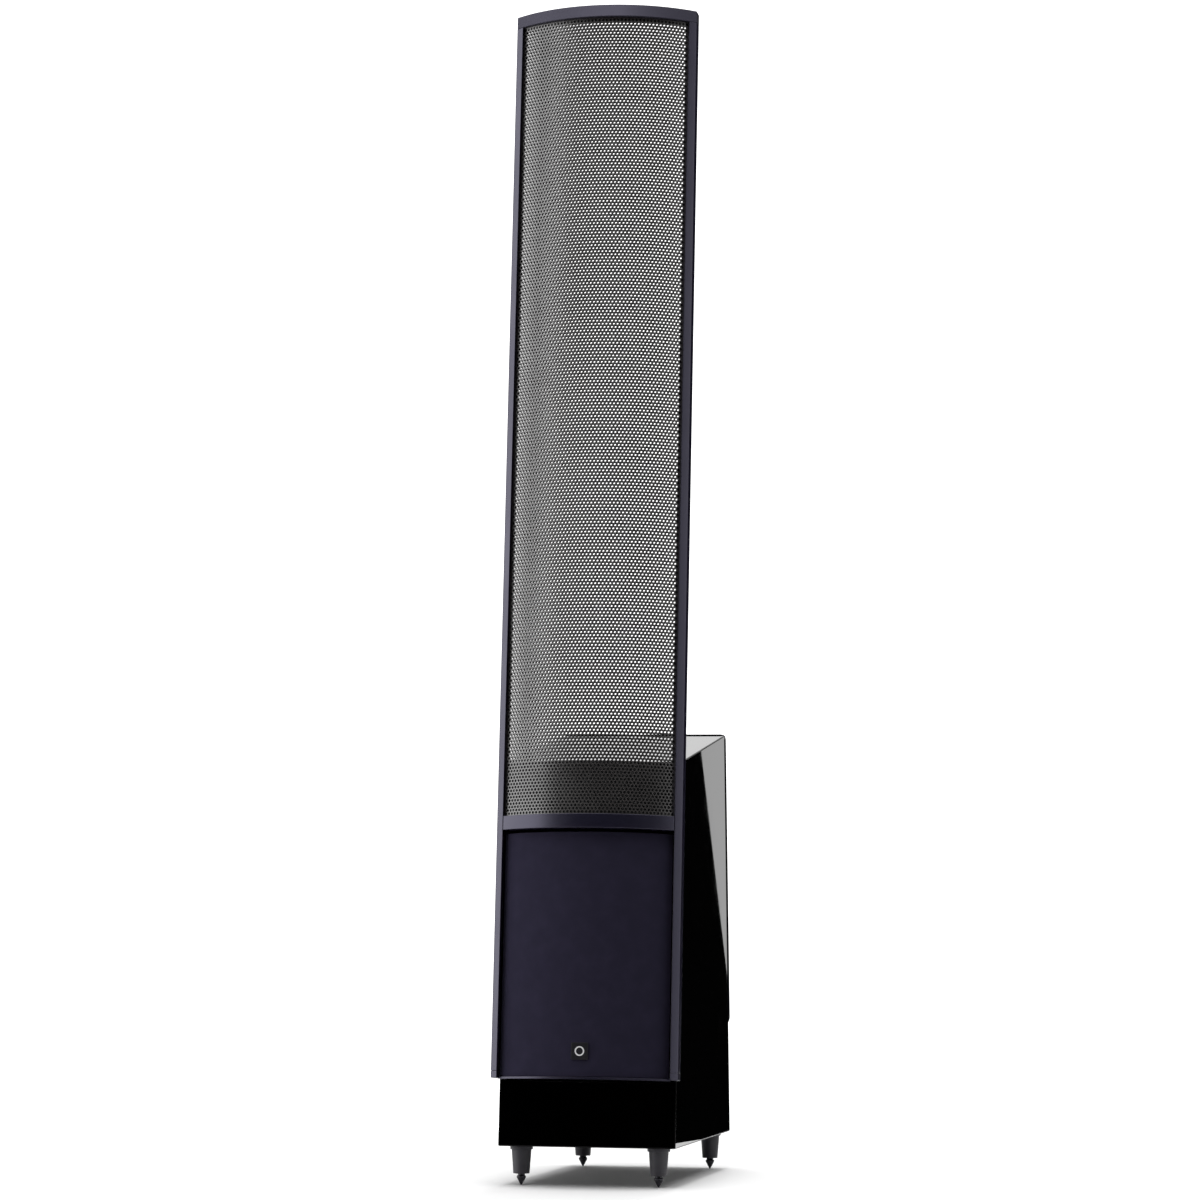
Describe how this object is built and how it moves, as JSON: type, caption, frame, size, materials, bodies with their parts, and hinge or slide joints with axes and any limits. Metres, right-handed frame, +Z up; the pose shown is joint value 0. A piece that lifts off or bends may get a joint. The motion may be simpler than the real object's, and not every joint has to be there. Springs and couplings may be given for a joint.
{
  "type": "floorstanding speaker",
  "caption": "Hybrid electrostatic floorstanding speaker: tall bowed see-through panel in a leaning frame, on a wedge cabinet with front and rear woofers and spiked feet.",
  "frame": {"origin": "on the floor plane, under the centre of the whole speaker", "axes": "+Z up, +X to the right as seen from the front, front towards -Y"},
  "size_m": [0.236, 0.5361, 1.501],
  "materials": {
    "frame_metal": "satin charcoal powder coat over aluminium",
    "stator_coating": "satin black insulating coat over perforated steel",
    "spacer_plastic": "matt black",
    "diaphragm_film": "clear thin film",
    "gloss_lacquer": "mirror gloss black lacquer over fibreboard",
    "inner_board": "bare fibreboard",
    "grille_cloth": "black acoustic knit",
    "grille_plate": "black moulded carrier",
    "badge_metal": "dark plain tile",
    "basket_metal": "black cast basket",
    "motor_steel": "ferrite magnet and steel plates",
    "cone_metal": "dark anodised cone",
    "surround_rubber": "matt rubber",
    "spider_cloth": "varnished weave",
    "copper_wire": "enamelled copper winding",
    "port_plastic": "black moulded tube",
    "foot_plastic": "fine textured dark grey",
    "spike_steel": "black oxide",
    "terminal_plastic": "black moulded",
    "terminal_red": "red insulator",
    "circuit_board": "green laminate",
    "transformer_tape": "taped winding",
    "capacitor_film": "wrapped film can"
  },
  "bodies": {
    "root": {"side_rail_left": "frame_metal", "side_rail_right": "frame_metal", "rail_end_cap_left": "frame_metal", "rail_end_cap_right": "frame_metal", "top_cap": "frame_metal", "mid_rail": "frame_metal", "bottom_rail": "frame_metal", "front_stator": "stator_coating", "rear_stator": "stator_coating", "panel_spacer": "spacer_plastic", "diaphragm": "diaphragm_film", "front_baffle": "gloss_lacquer", "rear_baffle": "gloss_lacquer", "side_panel_left": "gloss_lacquer", "side_panel_right": "gloss_lacquer", "bottom_panel": "gloss_lacquer", "top_panel": "gloss_lacquer", "chamber_divider": "inner_board", "port_tube_front": "port_plastic", "port_tube_rear": "port_plastic", "front_basket": "basket_metal", "front_motor": "motor_steel", "front_surround": "surround_rubber", "front_spider": "spider_cloth", "rear_basket": "basket_metal", "rear_motor": "motor_steel", "rear_surround": "surround_rubber", "rear_spider": "spider_cloth", "foot_front_left": "foot_plastic", "foot_front_right": "foot_plastic", "foot_rear_left": "foot_plastic", "foot_rear_right": "foot_plastic", "terminal_plate": "terminal_plastic", "dc_inlet": "terminal_plastic", "crossover_board": "circuit_board", "bias_supply_board": "circuit_board", "woofer_inductor": "copper_wire", "crossover_capacitor": "capacitor_film", "step_up_transformer": "transformer_tape"},
    "front_woofer_cone": {"front_cone": "cone_metal", "front_dust_cap": "cone_metal", "front_voice_coil": "copper_wire"},
    "rear_woofer_cone": {"rear_cone": "cone_metal", "rear_dust_cap": "cone_metal", "rear_voice_coil": "copper_wire"},
    "front_grille": {"front_grille_plate": "grille_plate", "front_grille_cloth": "grille_cloth", "badge": "badge_metal"},
    "rear_grille": {"rear_grille_plate": "grille_plate", "rear_grille_cloth": "grille_cloth"},
    "lower_negative_knob": {"post_knob_lower_negative": "terminal_plastic"},
    "lower_positive_knob": {"post_knob_lower_positive": "terminal_red"},
    "upper_negative_knob": {"post_knob_upper_negative": "terminal_plastic"},
    "upper_positive_knob": {"post_knob_upper_positive": "terminal_red"},
    "front_left_spike": {"spike_front_left": "spike_steel"},
    "front_right_spike": {"spike_front_right": "spike_steel"},
    "rear_left_spike": {"spike_rear_left": "spike_steel"},
    "rear_right_spike": {"spike_rear_right": "spike_steel"}
  },
  "joints": [
    {"name": "front_cone_travel", "type": "slide", "parent": "root", "child": "front_woofer_cone", "axis": [0, -0.9974, 0.0718], "range_m": [-0.005, 0.005], "stiffness_N_per_m": 1500, "deforming": ["front_surround", "front_spider"]},
    {"name": "rear_cone_travel", "type": "slide", "parent": "root", "child": "rear_woofer_cone", "axis": [0, 0.9917, 0.1285], "range_m": [-0.005, 0.005], "stiffness_N_per_m": 1500, "deforming": ["rear_surround", "rear_spider"]},
    {"name": "front_grille_pull", "type": "slide", "parent": "root", "child": "front_grille", "axis": [0, -0.9974, 0.0718], "range_m": [0, 0.08]},
    {"name": "rear_grille_pull", "type": "slide", "parent": "root", "child": "rear_grille", "axis": [0, 0.9917, 0.1285], "range_m": [0, 0.06]},
    {"name": "lower_negative_knob_turn", "type": "hinge", "parent": "root", "child": "lower_negative_knob", "pos_m": [-0.0115, 0.26022, 0.10547], "axis": [0, 0.9917, 0.1285], "range_deg": [0, 1800]},
    {"name": "lower_positive_knob_turn", "type": "hinge", "parent": "root", "child": "lower_positive_knob", "pos_m": [0.0115, 0.26022, 0.10547], "axis": [0, 0.9917, 0.1285], "range_deg": [0, 1800]},
    {"name": "upper_negative_knob_turn", "type": "hinge", "parent": "root", "child": "upper_negative_knob", "pos_m": [-0.0115, 0.25533, 0.14316], "axis": [0, 0.9917, 0.1285], "range_deg": [0, 1800]},
    {"name": "upper_positive_knob_turn", "type": "hinge", "parent": "root", "child": "upper_positive_knob", "pos_m": [0.0115, 0.25533, 0.14316], "axis": [0, 0.9917, 0.1285], "range_deg": [0, 1800]},
    {"name": "front_left_spike_height", "type": "slide", "parent": "root", "child": "front_left_spike", "axis": [0, 0, -1], "range_m": [0, 0.008]},
    {"name": "front_right_spike_height", "type": "slide", "parent": "root", "child": "front_right_spike", "axis": [0, 0, -1], "range_m": [0, 0.008]},
    {"name": "rear_left_spike_height", "type": "slide", "parent": "root", "child": "rear_left_spike", "axis": [0, 0, -1], "range_m": [0, 0.008]},
    {"name": "rear_right_spike_height", "type": "slide", "parent": "root", "child": "rear_right_spike", "axis": [0, 0, -1], "range_m": [0, 0.008]}
  ]
}
